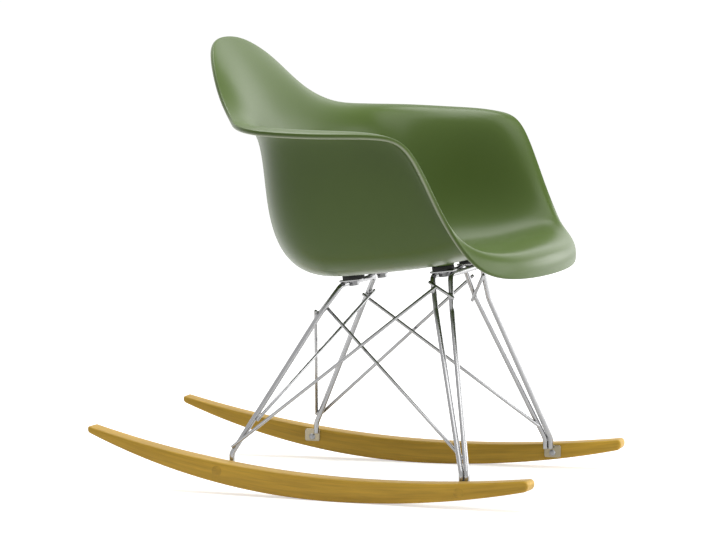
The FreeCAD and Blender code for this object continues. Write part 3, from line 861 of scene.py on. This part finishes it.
def rockerStations():
    # Positions along the rocker, closer together over the noses, by a cosine at each end
    half = rockerShape["length"] / 2
    nose = 2 * rockerShape["frontNose"]
    turn = np.linspace(0, np.pi / 2, rockerShape["noseStations"])
    front = -half + nose * (1 - np.cos(turn))
    rear = half - nose * (1 - np.cos(turn))
    middle = np.linspace(front[-1], rear[-1], rockerShape["stations"])[1:-1]
    return np.concatenate([front, middle, rear[::-1]])


def noseInset(distance, radius):
    # Quarter circle: inset = R - sqrt(R^2 - (R - d)^2) within R of the end
    left = np.clip(radius - distance, 0, radius)
    return radius - np.sqrt(radius ** 2 - left ** 2)


def rockerSurface(side):
    # P(y, t) = corner centre + e (cos t, sin t), between the two arcs, with the grain following them
    y = rockerStations()
    half = rockerShape["length"] / 2
    fromFront = y + half
    fromRear = half - y
    inset = noseInset(fromFront, rockerShape["frontNose"]) + noseInset(fromRear, rockerShape["rearNose"])
    low = rockerBottom(y) + inset
    high = rockerTop(y) - inset
    edge = np.minimum(rockerShape["edge"], (high - low) / rockerShape["edgeDivisor"])
    narrow = noseInset(fromFront, rockerShape["edge"]) + noseInset(fromRear, rockerShape["edge"])
    wide = rockerShape["width"] / 2 - narrow
    k = rockerShape["cornerSteps"]
    turn = np.concatenate([np.linspace(0, np.pi / 2, k) + q * np.pi / 2 for q in range(4)])
    signX = np.repeat([1, -1, -1, 1], k)
    signZ = np.repeat([1, 1, -1, -1], k)
    middle = ((high + low) / 2)[:, None]
    x = signX * (wide - edge)[:, None] + edge[:, None] * np.cos(turn)
    z = middle + signZ * ((high - low) / 2 - edge)[:, None] + edge[:, None] * np.sin(turn)
    rings = np.stack([x, np.broadcast_to(y[:, None], x.shape), z], -1)
    points, faces = closedSurface(rings)
    spine = (rockerBottom(y) + rockerTop(y)) / 2
    grain = points.copy()
    grain[:, 2] -= np.interp(points[:, 1], y, spine)
    grain[:, 1] = np.interp(points[:, 1], y, np.cumsum(np.hypot(1, np.gradient(spine, y)) * np.gradient(y)))
    shiftX, shiftZ = rockerShape["grainShift"]
    return onRocker(side, points), faces, grain + np.array([side * shiftX, 0, shiftZ])


def setGrain(piece, grain):
    attribute = piece.data.attributes.new("grain", "FLOAT_VECTOR", "POINT")
    attribute.data.foreach_set("vector", grain.astype(np.float32).ravel())


plugShape = {
    "radius": 0.008, "depth": 0.004, "proud": 0.0002, "rim": 0.0003, "rimSteps": 3, "around": 40,
}


def makeRockers():
    # Both runners, and the four wooden plugs over the sunk nuts
    face = rockerShape["width"] / 2
    profile = roundedProfile(plugShape["radius"], face - plugShape["depth"], face + plugShape["proud"],
                             plugShape["rim"], plugShape["rimSteps"])
    plugs = []
    plugGrain = []
    for side, sideName in ((1, "left"), (-1, "right")):
        points, faces, grain = rockerSurface(side)
        piece = makePiece("rocker_" + sideName + "_runner", points, faces, rockerWood, "rocker_wood",
                          ["rocker_" + sideName])
        setGrain(piece, grain)
        for along in (baseShape["rearPlateAlong"], baseShape["frontPlateAlong"]):
            height = float(rockerTop(along)) - rockerShape["boltDrop"]
            disc = revolved(profile, np.array([0, along, height]), [side, 0, 0], plugShape["around"])
            surface = closedSurface(disc)
            plugGrain.append(surface[0])
            plugs.append((onRocker(side, surface[0]), surface[1]))
    points, faces = joined(plugs)
    piece = makePiece("rocker_plug_discs", points, faces, plugWood, "plug_wood", ["rocker_plugs"])
    setGrain(piece, np.concatenate(plugGrain))
    print("rockers made")


makeShell()
makeRubberMounts()
makeMountPlates()
makeRods()
makeWires()
makeFootPlates()
makeRockers()

# Small hardware keeps its own solids, with these finishes
hardware = {
    "mount_bolts": fastenerSteel, "mount_washers": fastenerSteel, "rocker_nuts": fastenerSteel,
    "mount_inserts": insertBrass,
}
for nodeName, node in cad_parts.items():
    if nodeName in hardware:
        node.data.materials.clear()
        node.data.materials.append(hardware[nodeName])

# Studio: pale floor, soft light, the photo's camera
studio = {
    "floorSize": 80.0, "floorColour": (0.90, 0.90, 0.90), "floorRoughness": 0.9, "ambient": 0.12,
    "floorLift": (0.60, 0.93), "liftReach": (0.6, 3.0), "aimHeight": 0.4,
}
# Each panel's place, size and watts
panels = {
    "overhead": ((-0.6, -0.6, 2.4), (2.2, 2.2), 43.5),
    "rear_panel": ((0.5, 0.9, 2.4), (2.0, 1.2), 38.5),
    "front_panel": ((0.4, -2.6, 0.8), (2.4, 1.4), 41.0),
    "far_panel": ((3.1, -0.7, 1.2), (2.4, 2.0), 9.0),
    "corner_panel": ((2.7, -1.7, 0.7), (1.6, 1.1), 14.0),
}
cameraFit = {
    "azimuth": -70.21, "elevation": 5.67, "distance": 6.7204, "target": (0, 0, 0.330),
    "shiftRight": 0.0036, "shiftUp": -0.0144, "focalPixels": 4500, "imageWidth": 716,
    "sensorWidth": 36, "clipEnd": 100,
}


def shownMask(tree, place):
    # 1 on rays from the camera, from mirrors and through glass, 0 on those that only light things
    paths = addNode(tree, "ShaderNodeLightPath", place)
    mirrored = addNode(tree, "ShaderNodeMath", (place[0] + 200, place[1]), operation="ADD", use_clamp=True)
    through = addNode(tree, "ShaderNodeMath", (place[0] + 400, place[1]), operation="ADD", use_clamp=True)
    tree.links.new(paths.outputs["Is Camera Ray"], mirrored.inputs[0])
    tree.links.new(paths.outputs["Is Glossy Ray"], mirrored.inputs[1])
    tree.links.new(mirrored.outputs[0], through.inputs[0])
    tree.links.new(paths.outputs["Is Transmission Ray"], through.inputs[1])
    return through.outputs[0]


def makeFloor():
    # A lift brings the floor up to white where it is seen: weaker by the chair, so its shadow stays
    half = studio["floorSize"] / 2
    points = np.array([[-half, -half, 0], [half, -half, 0], [half, half, 0], [-half, half, 0]])
    mesh = bpy.data.meshes.new("floor")
    mesh.from_pydata(points.tolist(), [], [[0, 1, 2, 3]])
    material, tree, shader = newMaterial("floor_pale")
    shader.inputs["Base Color"].default_value = (*studio["floorColour"], 1)
    shader.inputs["Roughness"].default_value = studio["floorRoughness"]
    shader.inputs["Specular IOR Level"].default_value = 0.0
    shader.inputs["Emission Color"].default_value = (1, 1, 1, 1)
    lift = addNode(tree, "ShaderNodeMath", (0, -300), operation="MULTIPLY")
    distance = addNode(tree, "ShaderNodeVectorMath", (-600, -600), operation="LENGTH")
    tree.links.new(objectSpace(tree), distance.inputs[0])
    rise = addNode(tree, "ShaderNodeMapRange", (-300, -600), interpolation_type="SMOOTHSTEP")
    rise.inputs["From Min"].default_value, rise.inputs["From Max"].default_value = studio["liftReach"]
    rise.inputs["To Min"].default_value, rise.inputs["To Max"].default_value = studio["floorLift"]
    tree.links.new(distance.outputs["Value"], rise.inputs["Value"])
    tree.links.new(shownMask(tree, (-800, -300)), lift.inputs[0])
    tree.links.new(rise.outputs["Result"], lift.inputs[1])
    tree.links.new(lift.outputs[0], shader.inputs["Emission Strength"])
    mesh.materials.append(material)
    floor = bpy.data.objects.new("floor", mesh)
    bpy.context.scene.collection.objects.link(floor)


def makeWorld():
    # White where it is seen, softer as light
    world = bpy.data.worlds.new("studio")
    bpy.context.scene.world = world
    world.use_nodes = True
    tree = world.node_tree
    tree.nodes.clear()
    output = addNode(tree, "ShaderNodeOutputWorld", (600, 0))
    seen = addNode(tree, "ShaderNodeBackground", (0, 100), Strength=1.0)
    lit = addNode(tree, "ShaderNodeBackground", (0, -100), Strength=studio["ambient"])
    for background in (seen, lit):
        background.inputs["Color"].default_value = (1, 1, 1, 1)
    mix = addNode(tree, "ShaderNodeMixShader", (300, 0))
    tree.links.new(shownMask(tree, (-800, 200)), mix.inputs[0])
    tree.links.new(lit.outputs[0], mix.inputs[1])
    tree.links.new(seen.outputs[0], mix.inputs[2])
    tree.links.new(mix.outputs[0], output.inputs["Surface"])


def makeLight(name, place, size, power):
    light = bpy.data.lights.new(name, "AREA")
    light.shape = "RECTANGLE"
    light.size, light.size_y = size
    light.energy = power
    lamp = bpy.data.objects.new(name, light)
    lamp.location = place
    aim = Vector((0, 0, studio["aimHeight"])) - Vector(place)
    lamp.rotation_euler = aim.to_track_quat("-Z", "Y").to_euler()
    bpy.context.scene.collection.objects.link(lamp)


def makeCamera():
    a = math.radians(cameraFit["azimuth"])
    e = math.radians(cameraFit["elevation"])
    back = Vector((math.sin(a) * math.cos(e), -math.cos(a) * math.cos(e), math.sin(e)))
    right = Vector((math.cos(a), math.sin(a), 0))
    up = back.cross(right)
    data = bpy.data.cameras.new("photo_camera")
    data.sensor_width = cameraFit["sensorWidth"]
    data.lens = cameraFit["focalPixels"] / cameraFit["imageWidth"] * data.sensor_width
    data.clip_end = cameraFit["clipEnd"]
    camera = bpy.data.objects.new("photo_camera", data)
    place = Vector(cameraFit["target"]) + back * cameraFit["distance"]
    place += right * cameraFit["shiftRight"] + up * cameraFit["shiftUp"]
    turn = Matrix((right, up, back)).transposed().to_4x4()
    camera.matrix_world = Matrix.Translation(place) @ turn
    bpy.context.scene.collection.objects.link(camera)
    bpy.context.scene.camera = camera


makeFloor()
makeWorld()
for panelName, panel in panels.items():
    makeLight(panelName, *panel)
makeCamera()
bpy.context.scene.view_settings.view_transform = "Standard"
print("studio made")
